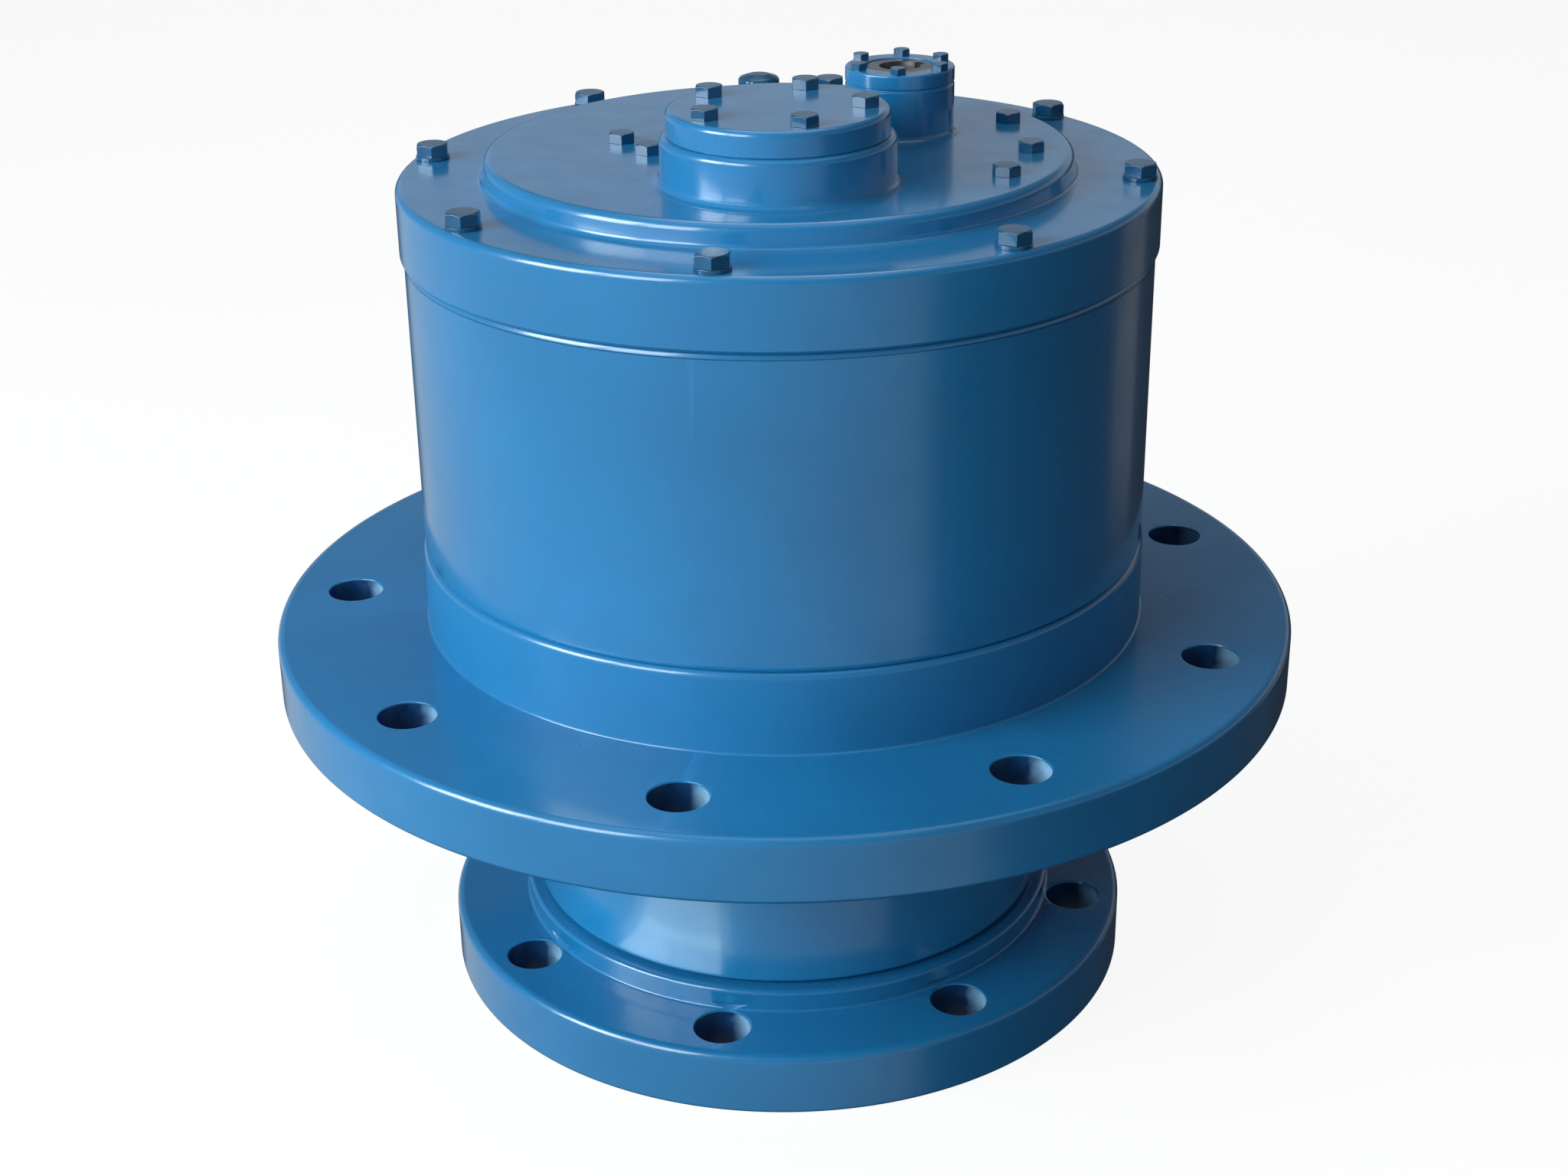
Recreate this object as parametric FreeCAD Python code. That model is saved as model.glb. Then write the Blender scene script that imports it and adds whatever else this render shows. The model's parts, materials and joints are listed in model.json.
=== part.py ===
import FreeCAD, Part
import math, os

# Inline planetary gear reducer standing on its output flange.
# Millimetres, +Z up, origin at the centre of the output flange's lower face.
os.makedirs("parts", exist_ok=True)
V = FreeCAD.Vector
ZAX = V(0, 0, 1)

# ---- driving dimensions -------------------------------------------------
Z_OUT_TOP = 35.5        # output flange, upper face
Z_STEP = 48.0           # step ring on the output flange
Z_NECK = 49.5           # lower end of the bearing neck
Z_MF_BOT = 180.8        # mounting flange, lower face
Z_MF_TOP = 215.7        # mounting flange, upper face
Z_SEAM_LOW = 260.0      # ring gear housing, lower seam
Z_SEAM_TOP = 422.2      # ring gear housing, upper seam
Z_COVER = 458.7         # cover rim
Z_DISC = 470.7          # raised disc on the cover
Z_HUB = 494.7           # front hub, upper face
Z_CAP = 507.7           # cap of the front hub
Z_SLEEVE = 497.7        # input sleeve, upper face
Z_RING = 505.7          # ring on the input sleeve

R_OUT = 195.3           # output flange
R_STEP = 153.0
R_NECK = 146.0
R_MF = 282.0            # mounting flange
R_LOW = 199.0           # lower housing belt
R_NAV = 157.0           # bore of the mounting flange above the neck
R_RING = 198.0          # ring gear housing
R_COVER = 200.0
R_DISC_LO = 155.4       # raised disc, foot and top edge
R_DISC_HI = 153.9
R_HUB = 59.0
R_CAP = 55.6
R_SLEEVE = 29.0

PCD_OUT, N_OUT, D_OUT = 339.0, 8, 30.0      # output flange holes
PCD_MF, N_MF, D_MF = 488.0, 9, 30.0         # mounting flange holes
R_CB, N_CB, A_CB = 188.0, 8, 272.8          # cover bolts M10
R_HS, N_HS, A_HS = 185.0, 12, 15.0          # housing screws M12
A_HUB, A_SLV, CD_TOP = 282.2, 38.0, 72.0    # stations around the top wheel
R_CAPB, N_CAPB, A_CAPB = 43.0, 5, 227.2     # cap bolts M8
R_RS, N_RS, A_RS = 24.5, 6, 37.2            # sleeve ring screws M5
A_BR, R_BR = 106.0, 167.0                   # breather plug

M_PL, N_SUN, N_PL, N_RG = 5.0, 18, 24, 66   # planetary gears, both stages
CD_PL = M_PL * (N_SUN + N_PL) / 2.0
A_PL = (0.0, 120.0, 240.0)
M_SP, N_WH, N_PI = 3.0, 33, 15              # top wheel and pinions


# ---- helpers --------------------------------------------------------------
def pol(r, a, z=0.0):
    t = math.radians(a)
    return V(r * math.cos(t), r * math.sin(t), z)


def prof(pts):
    """Closed (r, z[, fillet]) outline turned about Z."""
    n = len(pts)
    P = [(float(p[0]), float(p[1])) for p in pts]
    F = [float(p[2]) if len(p) > 2 else 0.0 for p in pts]
    edges, ends = [], []
    for i in range(n):
        a, b, c = P[i - 1], P[i], P[(i + 1) % n]
        if F[i] <= 0:
            ends.append((b, None, b))
            continue
        u = (a[0] - b[0], a[1] - b[1])
        w = (c[0] - b[0], c[1] - b[1])
        lu, lw = math.hypot(*u), math.hypot(*w)
        u = (u[0] / lu, u[1] / lu)
        w = (w[0] / lw, w[1] / lw)
        half = math.acos(max(-1, min(1, u[0] * w[0] + u[1] * w[1]))) / 2
        t = F[i] / math.tan(half)
        bis = (u[0] + w[0], u[1] + w[1])
        lb = math.hypot(*bis)
        d = F[i] / math.sin(half)
        cen = (b[0] + bis[0] / lb * d, b[1] + bis[1] / lb * d)
        mid = (cen[0] - bis[0] / lb * F[i], cen[1] - bis[1] / lb * F[i])
        ends.append(((b[0] + u[0] * t, b[1] + u[1] * t), mid,
                     (b[0] + w[0] * t, b[1] + w[1] * t)))
    q = lambda p: V(p[0], 0, p[1])
    for i in range(n):
        s, m, e = ends[i]
        if m is not None:
            edges.append(Part.Arc(q(s), q(m), q(e)).toShape())
        nx = ends[(i + 1) % n][0]
        if math.hypot(nx[0] - e[0], nx[1] - e[1]) > 1e-7:
            edges.append(Part.LineSegment(q(e), q(nx)).toShape())
    face = Part.Face(Part.Wire(edges))
    s = face.revolve(V(0, 0, 0), ZAX, 360)
    if s.Volume < 0:
        s.reverse()
    return s


def cyl(r, z0, z1, at=V(0, 0, 0)):
    return Part.makeCylinder(r, z1 - z0, V(at.x, at.y, z0), ZAX)


def tube(ro, ri, z0, z1, at=V(0, 0, 0)):
    return cyl(ro, z0, z1, at).cut(cyl(ri, z0 - 1, z1 + 1, at))


def hexa(af, z0, z1, at=V(0, 0, 0), turn=0.0):
    r = af / math.sqrt(3.0)
    w = Part.makePolygon([pol(r, turn + 60 * k, z0) + V(at.x, at.y, 0) for k in range(7)])
    return Part.Face(w).extrude(V(0, 0, z1 - z0))


def ring_of(n, r, a0):
    return [pol(r, a0 + 360.0 * k / n) for k in range(n)]


def rot(s, a, about=V(0, 0, 0)):
    c = s.copy()
    c.rotate(about, ZAX, a)
    return c


def moved(s, v):
    c = s.copy()
    c.translate(v)
    return c


def fuse(a, *more):
    s = a.multiFuse(list(more)) if more else a
    return s.removeSplitter()


def cut(a, tools):
    s = a
    tools = list(tools)
    if tools:
        s = s.cut(tools)
    return s


def save(name, shapes):
    if not isinstance(shapes, (list, tuple)):
        shapes = [shapes]
    sol = []
    for s in shapes:
        sol.extend(s.Solids)
    out = sol[0] if len(sol) == 1 else Part.makeCompound(sol)
    out.exportStep("parts/%s.step" % name)
    bb = out.BoundBox
    print("%-26s solids %2d valid %s vol %10.1f z %.2f..%.2f" % (
        name, len(sol), out.isValid(), sum(x.Volume for x in sol), bb.ZMin, bb.ZMax))
    return out


def inv_a(x):
    return math.tan(x) - x


def tooth_wire(n, m, r_root, r_tip, slack, phase):
    """Outline of a spur gear; a tooth is centred at angle phase (degrees)."""
    rp = m * n / 2.0
    al = math.radians(20.0)
    rb = rp * math.cos(al)
    base = math.pi / (2 * n) + inv_a(al) - slack / rp

    def half(r):
        r = max(r, rb)
        return base - inv_a(math.acos(min(1.0, rb / r)))

    r0 = max(rb * 1.0005, r_root)
    rm = (r0 + r_tip) / 2.0
    edges = []
    pt = lambda r, a: V(r * math.cos(a), r * math.sin(a), 0)
    ph = math.radians(phase)
    step = 2 * math.pi / n
    for k in range(n):
        c = ph + k * step
        nx = c + step
        hr = half(r0)
        a_in, a_out = pt(r0, c - hr), pt(r_tip, c - half(r_tip))
        if r0 > r_root + 1e-6:
            edges.append(Part.LineSegment(pt(r_root, c - hr), a_in).toShape())
        edges.append(Part.Arc(a_in, pt(rm, c - half(rm)), a_out).toShape())
        edges.append(Part.Arc(a_out, pt(r_tip, c), pt(r_tip, c + half(r_tip))).toShape())
        edges.append(Part.Arc(pt(r_tip, c + half(r_tip)), pt(rm, c + half(rm)), pt(r0, c + hr)).toShape())
        if r0 > r_root + 1e-6:
            edges.append(Part.LineSegment(pt(r0, c + hr), pt(r_root, c + hr)).toShape())
        edges.append(Part.Arc(pt(r_root, c + hr), pt(r_root, (c + nx) / 2), pt(r_root, nx - hr)).toShape())
    return Part.Wire(edges)


def gear(n, m, z0, z1, phase, bore=0.0, at=V(0, 0, 0), slack=0.14):
    rp = m * n / 2.0
    w = tooth_wire(n, m, rp - 1.25 * m, rp + 0.95 * m, slack, phase)
    faces = Part.Face(w)
    if bore > 0:
        c = Part.Wire(Part.Circle(V(0, 0, 0), ZAX, bore).toShape())
        c.reverse()
        faces = Part.Face(w).cut(Part.Face(Part.Wire(Part.Circle(V(0, 0, 0), ZAX, bore).toShape())))
    s = faces.extrude(V(0, 0, z1 - z0))
    s.translate(V(at.x, at.y, z0))
    return s


def spline_wire(n, r_root, r_tip, grow=0.0):
    pts = []
    st = 360.0 / n
    for k in range(n):
        c = k * st
        for r, f in ((r_root, -0.31), (r_tip, -0.19), (r_tip, 0.19), (r_root, 0.31)):
            rr = r + grow
            pts.append(pol(rr, c + st * f + math.degrees(grow / rr) * (1 if f > 0 else -1)))
    pts.append(pts[0])
    return Part.makePolygon(pts)


def spline(n, r_root, r_tip, z0, z1, grow=0.0):
    s = Part.Face(spline_wire(n, r_root, r_tip, grow)).extrude(V(0, 0, z1 - z0))
    s.translate(V(0, 0, z0))
    return s


# ---- output flange -----------------------------------------------------------
R_FS, N_FS = 70.0, 8                        # M16 socket screws holding it to the shaft
oflange = prof([(0, 5), (99, 5), (100, 4), (100, 0), (R_OUT, 0, 2.5), (R_OUT, Z_OUT_TOP, 4.4),
                (R_STEP, Z_OUT_TOP, 1.4), (R_STEP, Z_STEP, 2.4), (95, Z_STEP), (95, 30), (0, 30)])
tools = [cyl(D_OUT / 2, -1, Z_OUT_TOP + 1, p) for p in ring_of(N_OUT, PCD_OUT / 2, 270.0)]
for p in ring_of(N_FS, R_FS, 22.5):
    tools += [cyl(13, 4, 22, p), cyl(8.5, 21, 31, p)]
save("output_flange", cut(oflange, tools))

# ---- output shaft, its foot seated in the flange --------------------------------
oshaft = prof([(0, 30), (95, 30), (95, Z_STEP), (90, Z_STEP), (90, 72), (70, 72), (70, 205), (68, 205),
               (68, 222), (60.5, 226), (53.5, 226), (53.5, 262), (0, 262)])
oshaft = fuse(oshaft, spline(20, 54, 60, 226, 262))
oshaft = cut(oshaft, [cyl(8, 29, 60, p) for p in ring_of(N_FS, R_FS, 22.5)])
save("output_shaft", oshaft)
save("output_flange_screws", [
    cut(fuse(cyl(12, 6, 22, p), cyl(8, 21, 58, p)), [hexa(14, 5, 14, p)]) for p in ring_of(N_FS, R_FS, 22.5)])

# ---- bearing neck ------------------------------------------------------------------
save("bearing_neck", prof([(125, Z_NECK), (R_NECK, Z_NECK, 2.0), (R_NECK, 207), (125, 207), (125, 160),
                           (112, 160), (112, 117), (125, 117)]))

# ---- mounting flange, seated round the neck -----------------------------------------
mflange = prof([(R_NECK, Z_MF_BOT - 6), (R_NECK + 6.2, Z_MF_BOT), (R_MF, Z_MF_BOT, 2.5),
                (R_MF, Z_MF_TOP, 4.2), (R_NAV, Z_MF_TOP), (R_NAV, 207), (R_NECK, 207)])
tools = [cyl(D_MF / 2, Z_MF_BOT - 1, Z_MF_TOP + 1, p) for p in ring_of(N_MF, PCD_MF / 2, 270.0)]
for p in ring_of(N_HS, R_HS, A_HS):
    tools += [cyl(9.5, Z_MF_BOT - 1, Z_MF_BOT + 13, p), cyl(6.75, Z_MF_BOT, Z_MF_TOP + 1, p)]
save("mounting_flange", cut(mflange, tools))

# ---- lower housing belt ---------------------------------------------------------------
lower = prof([(R_NAV, Z_MF_TOP), (R_LOW + 1, Z_MF_TOP), (R_LOW, Z_MF_TOP + 1), (R_LOW, Z_SEAM_LOW, 3.6),
              (R_NAV, Z_SEAM_LOW)])
tools = [cyl(6.75, Z_MF_TOP - 1, Z_SEAM_LOW + 1, p) for p in ring_of(N_HS, R_HS, A_HS)]
for p in ring_of(2, R_HS, 0.0):
    tools.append(cyl(5, Z_SEAM_LOW - 12, Z_SEAM_LOW + 1, p))
tools.append(tube(176.3, 173.2, Z_SEAM_LOW - 2.7, Z_SEAM_LOW + 1))
A_DR, Z_DR = 90.0, 238.0
d_ax = pol(1, A_DR)
tools.append(Part.makeCylinder(8, 60, pol(150, A_DR, Z_DR), d_ax))
tools.append(Part.makeCylinder(12.5, 10, pol(197.0, A_DR, Z_DR), d_ax))
save("lower_housing", cut(lower, tools))

# drain plug, hexagon outwards
w = Part.makePolygon([pol(200.6, A_DR, Z_DR) + V(0, 0, 9.8 * math.sin(math.radians(60 * k))) +
                      pol(9.8 * math.cos(math.radians(60 * k)), A_DR + 90) for k in range(7)])
drain = fuse(Part.makeCylinder(8, 40, pol(160.6, A_DR, Z_DR), d_ax),
             Part.makeCylinder(11.5, 3.6, pol(197.0, A_DR, Z_DR), d_ax),
             Part.Face(w).extrude(d_ax * 7.5))
save("drain_plug", drain)

# ---- ring gear housing -----------------------------------------------------
rg_wire = tooth_wire(N_RG, M_PL, M_PL * N_RG / 2 - 4.5, M_PL * N_RG / 2 + 6.25, -0.14, 360.0 / N_RG / 2)
core = Part.Face(rg_wire).extrude(V(0, 0, Z_SEAM_TOP - Z_SEAM_LOW))
core.translate(V(0, 0, Z_SEAM_LOW))
ring = prof([(150, Z_SEAM_LOW), (R_RING - 1.5, Z_SEAM_LOW), (R_RING, Z_SEAM_LOW + 1.5),
             (R_RING, Z_SEAM_TOP, 3.0), (150, Z_SEAM_TOP)])
tools = [cyl(5, Z_SEAM_TOP - 28, Z_SEAM_TOP + 1, p) for p in ring_of(N_CB, R_CB, A_CB)]
tools += [cyl(6, Z_SEAM_LOW - 1, Z_SEAM_LOW + 26, p) for p in ring_of(N_HS, R_HS, A_HS)]
tools += [cyl(5, Z_SEAM_LOW - 1, Z_SEAM_LOW + 12, p) for p in ring_of(2, R_HS, 0.0)]
ring = cut(ring, [core] + tools)
save("ring_gear_housing", ring)

save("housing_screws", [
    cut(fuse(cyl(9, Z_MF_BOT + 1, Z_MF_BOT + 13, p), cyl(6, Z_MF_BOT + 12, Z_SEAM_LOW + 24, p)),
        [hexa(10, Z_MF_BOT, Z_MF_BOT + 7, p)]) for p in ring_of(N_HS, R_HS, A_HS)])
save("dowel_pins", [cyl(5, Z_SEAM_LOW - 12, Z_SEAM_LOW + 12, p) for p in ring_of(2, R_HS, 0.0)])
save("seam_o_rings", [
    Part.makeTorus(174.75, 1.35, V(0, 0, Z_SEAM_LOW - 1.35), ZAX),
    Part.makeTorus(179.5, 1.35, V(0, 0, Z_SEAM_TOP + 1.35), ZAX)])

# ---- top cover ---------------------------------------------------------------
PH, PS = pol(CD_TOP, A_HUB), pol(CD_TOP, A_SLV)
cover = prof([(176, Z_SEAM_TOP), (R_COVER - 1.6, Z_SEAM_TOP), (R_COVER, Z_SEAM_TOP + 1.4),
              (R_COVER, Z_COVER, 3.6), (R_DISC_LO, Z_COVER, 3.0), (R_DISC_HI, Z_DISC, 4.6),
              (0, Z_DISC), (0, 458.7), (142, 458.7, 6.0), (150, 450.5, 6.0), (176, 450.5, 5.0)])
hub = moved(prof([(0, 455), (R_HUB, 455), (R_HUB, Z_HUB, 3.0), (0, Z_HUB)]), PH)
cover = fuse(cover, hub, cyl(43, 449.8, 460), cyl(33, 451.6, 460, PH), cyl(37, 449.8, 460, PS))
tools = [cyl(36, 449.0, 466.8)]
# front station: ball bearing seat and brake chamber
tools += [cyl(26, 450, 467, PH), cyl(21, 466, 472, PH), cyl(37, Z_DISC, Z_HUB + 1, PH)]
# seat of the input sleeve
tools += [cyl(R_SLEEVE, 449, Z_DISC + 1, PS)]
tools += [cyl(5.5, Z_SEAM_TOP - 1, Z_COVER + 1, p) for p in ring_of(N_CB, R_CB, A_CB)]
tools += [cyl(4, Z_HUB - 16, Z_HUB + 1, p + PH) for p in ring_of(N_CAPB, R_CAPB, A_CAPB)]
tools.append(cyl(6, 445, Z_COVER + 1, pol(R_BR, A_BR)))
tools.append(tube(181.0, 178.0, Z_SEAM_TOP - 1, Z_SEAM_TOP + 2.7))
# gallery plugs on the raised disc: (radius, angle)
GAL = [(83.6, 183.1), (68.4, 203.0), (131.5, 341.8), (131.5, 4.8), (134.0, 33.8)]
tools += [cyl(4, Z_DISC - 9, Z_DISC + 1, pol(r, a)) for r, a in GAL]
cover = cut(cover, tools)
save("top_cover", cover)

# input sleeve pressed into the cover: two thin bearings below, shaft clearance above
slv = moved(prof([(23.5, 449.8), (R_SLEEVE, 449.8), (R_SLEEVE, Z_SLEEVE, 0.6), (18.5, Z_SLEEVE),
                  (18.5, 468), (23.5, 468)]), PS)
slv = cut(slv, [cyl(2.5, Z_SLEEVE - 12, Z_SLEEVE + 1, p + PS) for p in ring_of(N_RS, R_RS, A_RS)])
save("input_sleeve", slv)


def hex_bolt(p, zf, d, af, h, l, turn=0.0, washer=0.0):
    parts = [cyl(d / 2, zf - l, zf + 1, p)]
    head = hexa(af, zf + washer, zf + washer + h, p, turn)
    # chamfered corners on the upper face of the head
    cone = Part.makeCone(af / 2 * 1.02 + h * 1.2, af / 2 * 0.96, h, V(p.x, p.y, zf + washer), ZAX)
    parts.append(head.common(cone))
    if washer > 0:
        parts.append(cyl(af / 2 * 1.125, zf, zf + washer, p))
    return fuse(*parts)


# how far each hexagon ended up turned after tightening
TURN_CB = [40, 45, 37, 47, 42, 39, 46, 41]
TURN_GAL = [44, 38, 48, 41, 36]
TURN_CAP = [42, 47, 38, 44, 40]
TURN_RS = [41, 46, 38, 43, 36, 48]
save("cover_bolts", [hex_bolt(p, Z_COVER, 10, 16, 6.4, 58, TURN_CB[i], 2.0)
                     for i, p in enumerate(ring_of(N_CB, R_CB, A_CB))])
save("gallery_plugs", [hex_bolt(pol(r, a), Z_DISC, 8, 13, 5.3, 8, TURN_GAL[i])
                       for i, (r, a) in enumerate(GAL)])
pb = pol(R_BR, A_BR)
save("breather_plug", fuse(cyl(6, 446, Z_COVER + 1, pb), hexa(19, Z_COVER, Z_COVER + 5, pb, 20),
                           cyl(8, Z_COVER + 4.5, Z_COVER + 8, pb),
                           moved(prof([(0, Z_COVER + 7.5), (12, Z_COVER + 7.5, 0.8), (12, Z_COVER + 13, 2.5),
                                       (0, Z_COVER + 15)]), pb)))

# ---- cap of the front hub ------------------------------------------------------
cap = fuse(moved(prof([(0, Z_HUB), (R_CAP, Z_HUB, 0.5), (R_CAP, Z_CAP, 2.4), (0, Z_CAP)]), PH),
           cyl(36.9, 490.0, Z_HUB + 1, PH))
cap = cut(cap, [cyl(26, 489, 504, PH)] +
          [cyl(4.5, Z_HUB - 6, Z_CAP + 1, p + PH) for p in ring_of(N_CAPB, R_CAPB, A_CAPB)])
save("hub_cap", cap)
save("hub_cap_bolts", [hex_bolt(p + PH, Z_CAP, 8, 13, 5.3, 27, TURN_CAP[i])
                       for i, p in enumerate(ring_of(N_CAPB, R_CAPB, A_CAPB))])

# ---- ring on the input sleeve, seal under it -----------------------------------
sring = moved(prof([(18.5, 503.7), (18.5, Z_RING), (R_SLEEVE, Z_RING, 0.8), (R_SLEEVE, Z_SLEEVE, 0.4),
                    (21, Z_SLEEVE), (21, 503.7)]), PS)
sring = cut(sring, [cyl(2.75, Z_SLEEVE - 1, Z_RING + 1, p + PS) for p in ring_of(N_RS, R_RS, A_RS)])
save("sleeve_ring", sring)
save("sleeve_ring_screws", [hex_bolt(p + PS, Z_RING, 5, 8, 3.6, 18, TURN_RS[i])
                            for i, p in enumerate(ring_of(N_RS, R_RS, A_RS))])
save("input_seal", moved(prof([(21, 497.8), (21, 503.6), (19.4, 503.6), (17.56, 501.2), (17.56, 500.4),
                               (18.9, 499.4), (18.9, 497.8)]), PS))

# ---- main bearings --------------------------------------------------------------
A_, B_ = (93.0, 109.0), (101.0, 80.0)
UX = ((B_[0] - A_[0]), (B_[1] - A_[1]))
LU = math.hypot(*UX)
UX = (UX[0] / LU, UX[1] / LU)
NX = (-UX[1], UX[0])
RA, RB, GAP = 9.0, 9.77, 0.30


def race(side, z):
    s = side
    p1 = (A_[0] + s * NX[0] * (RA + GAP), A_[1] + s * NX[1] * (RA + GAP))
    p2 = (B_[0] + s * NX[0] * (RB + GAP), B_[1] + s * NX[1] * (RB + GAP))
    return p1[0] + (p2[0] - p1[0]) * (z - p1[1]) / (p2[1] - p1[1])


cup = prof([(125, 117), (125, 80), (race(1, 80), 80), (race(1, 117), 117)])
cone = prof([(70, 72), (95, 72), (95, 77), (race(-1, 77), 77), (race(-1, 108), 108), (86.5, 108),
             (86.5, 115), (70, 115)])
d3 = V(UX[0], 0, UX[1])
roll = Part.makeCone(RA, RB, LU, V(A_[0], 0, A_[1]), d3)
rollers = [rot(roll, 360.0 * k / 28) for k in range(28)]
Z_MID = 138.5                                # mirror plane of the two bearings


def flip(s):
    return s.mirror(V(0, 0, Z_MID), ZAX)


save("main_bearing_cups", [cup, flip(cup)])
save("main_bearing_cones", [cone, flip(cone)])
save("main_bearing_rollers", rollers + [flip(r) for r in rollers])
save("bearing_spacer", tube(82, 70, 115, 162))
nut = cut(tube(94, 68, 205, 221), [Part.makeBox(10, 14, 20, V(-5, 85, 203)).rotated(V(0, 0, 0), ZAX, 90 * k)
                                  for k in range(4)])
save("bearing_lock_nut", nut)
save("output_seal", prof([(125, 52), (125, 66), (98, 66), (98, 61.5), (90.05, 63), (90.05, 60.5),
                          (96.5, 56.5), (96.5, 52)]))


# ---- planet carriers ---------------------------------------------------------------
def carrier(z0, z1, z2, z3, r_post, r_open, r_pin):
    body = fuse(cyl(150, z0, z1), cyl(150, z2, z3),
                *[cyl(r_post, z0 + 1, z3 - 1, pol(116, a + 60)) for a in A_PL])
    return cut(body, [cyl(r_open, z2 - 1, z3 + 1)] +
               [cyl(r_pin, z0 - 1, z3 + 1, pol(CD_PL, a)) for a in A_PL])


def stage(tag, z_lo, z_hi, zp0, zp1, pin_z, r_pin, r_bush):
    pins, bush, wash = [], [], []
    for i, a in enumerate(A_PL):
        c = pol(CD_PL, a)
        pins.append(cyl(r_pin, pin_z[0], pin_z[1], c))
        bush.append(tube(r_bush, r_pin, z_lo, z_hi, c))
        wash.append(tube(r_bush + 13, r_bush + 0.1, z_lo, zp0 - 0.1, c))
        wash.append(tube(r_bush + 13, r_bush + 0.1, zp1 + 0.1, z_hi, c))
        save("%s_planet_%d" % (tag, i + 1),
             gear(N_PL, M_PL, zp0, zp1, 7.5, r_bush + 0.05, c))
    save(tag + "_planet_pins", pins)
    save(tag + "_planet_bushes", bush)
    save(tag + "_thrust_washers", wash)


# second stage (drives the output shaft)
c2 = cut(carrier(232, 262, 332, 346, 32, 68, 22), [spline(20, 54, 60, 231, 263, 0.05)])
save("stage2_carrier", c2)
stage("stage2", 262, 332, 266, 328, (232, 346), 22, 27)
sun2 = fuse(gear(N_SUN, M_PL, 265, 329, 0.0), spline(16, 28, 32, 328, 362))
save("stage2_sun", sun2)
save("stage2_thrust_button", cyl(20, 262, 264.9))

# first stage
c1 = fuse(carrier(350, 364, 406, 416, 28, 56, 20), cyl(60, 335, 351))
c1 = cut(c1, [spline(16, 28, 32, 334, 365, 0.05)])
save("stage1_carrier", c1)
stage("stage1", 364, 406, 367, 403, (350, 416), 20, 24.5)
save("stage1_thrust_button", cyl(26, 362, 366.9))

# sun of the first stage with its shaft, key and top wheel
sun1 = fuse(gear(N_SUN, M_PL, 367, 404, 0.0), cyl(25, 403, 430), cyl(22, 429, 449.9), cyl(17.5, 449, 466.5))
keyb = Part.makeBox(10, 8, 18, V(-5, 17.3, 430))
sun1 = cut(sun1, [keyb])
save("stage1_sun_shaft", sun1)
wheel = gear(N_WH, M_SP, 430, 448, 0.0, 22.0, slack=0.10)
wheel = cut(wheel, [keyb] + [cyl(5.5, 429, 449, pol(34, 60 * k)) for k in range(6)])
save("top_wheel", wheel)
save("top_wheel_key", keyb)


# ---- ball bearings -------------------------------------------------------------------
def ball_bearing(ri, ro, z0, z1, n, c, rb):
    rm = (ri + ro) / 2.0
    zc = (z0 + z1) / 2.0
    tor = Part.makeTorus(rm, rb + 0.03, V(c.x, c.y, zc), ZAX)
    outer = tube(ro, rm + rb * 0.55, z0, z1, c).cut(tor)
    inner = tube(rm - rb * 0.55, ri, z0, z1, c).cut(tor)
    balls = [Part.makeSphere(rb, pol(rm, 360.0 * k / n, zc) + c) for k in range(n)]
    return outer, inner, balls


o, i_, b = ball_bearing(17.5, 36, 449.9, 466.5, 9, V(0, 0, 0), 5.5)
save("sun_bearing_outer", o)
save("sun_bearing_inner", i_)
save("sun_bearing_balls", b)

bi = [ball_bearing(17.5, 23.5, z, z + 7, 18, PS, 1.75) for z in (451.0, 461.0)]
save("input_bearing_outers", [x[0] for x in bi])
save("input_bearing_inners", [x[1] for x in bi])
save("input_bearing_balls", [y for x in bi for y in x[2]])
bb_ = [ball_bearing(12.5, 26, z, z + 15, 9, PH, 4.0) for z in (452.0, 489.0)]
save("brake_bearing_outers", [x[0] for x in bb_])
save("brake_bearing_inners", [x[1] for x in bb_])
save("brake_bearing_balls", [y for x in bb_ for y in x[2]])


# ---- pinions ----------------------------------------------------------------------------
def pin_phase(th):
    f = th * N_WH / 360.0 + (th + 180.0) * N_PI / 360.0 - 0.5
    return f * 360.0 / N_PI


pin_in = fuse(gear(N_PI, M_SP, 430, 448, pin_phase(A_SLV), 0, PS, 0.10), cyl(19.5, 447, 450.9, PS),
              cyl(17.5, 450, 505.2, PS), cyl(19.5, 458.1, 460.9, PS))
keyway = Part.makeBox(6, 4, 36, V(PS.x - 3, PS.y + 9.8, 472))
pin_in = cut(pin_in, [cyl(11, 472, 506, PS), rot(keyway, A_SLV - 90, PS)])
save("input_pinion", pin_in)

pin_br = fuse(gear(N_PI, M_SP, 430, 448, pin_phase(A_HUB), 0, PH, 0.10), cyl(15.5, 447, 451.9, PH),
              cyl(12.5, 451, 503.6, PH), cyl(17, 467.3, 488.9, PH))
save("brake_pinion", pin_br)
# released brake pack: discs turn with the pinion, plates stand still
save("brake_discs", [tube(34, 17, z, z + 2.2, PH) for z in (473.4, 478.4, 483.4)])
save("brake_plates", [tube(37, 20, z, z + 2.0, PH) for z in (470.8, 476.0, 481.0, 486.0)])
print("done")
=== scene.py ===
import json
import math

import bmesh
import bpy
import numpy as np
from mathutils import Matrix, Vector


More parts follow.
